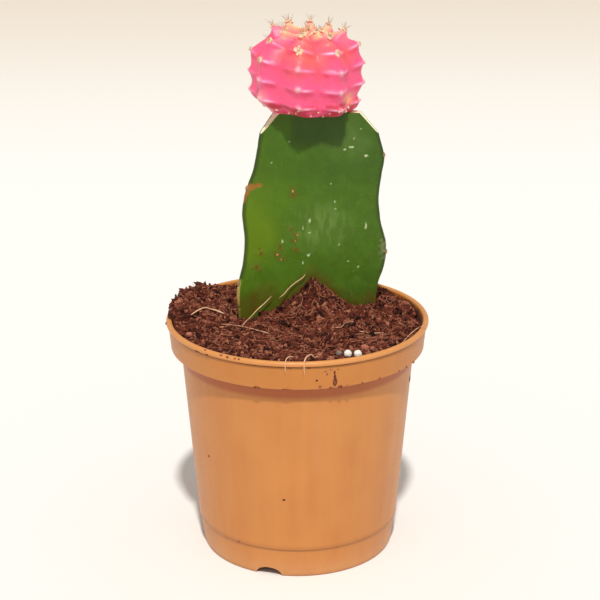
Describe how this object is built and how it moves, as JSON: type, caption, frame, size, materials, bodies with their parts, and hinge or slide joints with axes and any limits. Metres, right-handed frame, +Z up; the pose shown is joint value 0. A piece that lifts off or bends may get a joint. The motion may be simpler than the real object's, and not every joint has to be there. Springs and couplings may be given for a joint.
{
  "type": "potted moon cactus",
  "caption": "Grafted moon cactus: a pink ribbed globe on a three-angled green stem, standing in loose brown soil in a small plastic nursery pot.",
  "frame": {"origin": "on the ground under the middle of the pot's foot ring", "axes": "+Z up along the pot's axis, -Y towards the viewer who sees the stem's broad face, +X to the viewer's right"},
  "size_m": [0.085, 0.0857, 0.1733],
  "materials": {
    "pot_plastic": "satin moulded, terracotta colour",
    "soil": "loose, crumbly, dull",
    "stem_skin": "waxy skin",
    "globe_skin": "satin flesh",
    "white_bead": "matt bead",
    "grey_bead": "matt bead",
    "red_grit": "rough grit",
    "coir_fibre": "dry fibre"
  },
  "bodies": {
    "root": {"pot": "pot_plastic", "soil": "soil", "stock": "stem_skin", "scion": "globe_skin", "white_bead_1": "white_bead", "white_bead_2": "white_bead", "grey_bead": "grey_bead", "red_grit_1": "red_grit", "red_grit_2": "red_grit", "red_grit_3": "red_grit", "heap_fibre": "coir_fibre", "flat_fibre": "coir_fibre", "leaning_fibre_1": "coir_fibre", "leaning_fibre_2": "coir_fibre", "hook_fibre_1": "coir_fibre", "hook_fibre_2": "coir_fibre", "rim_fibre": "coir_fibre", "curly_fibre": "coir_fibre", "pale_fibre": "coir_fibre"}
  },
  "joints": []
}
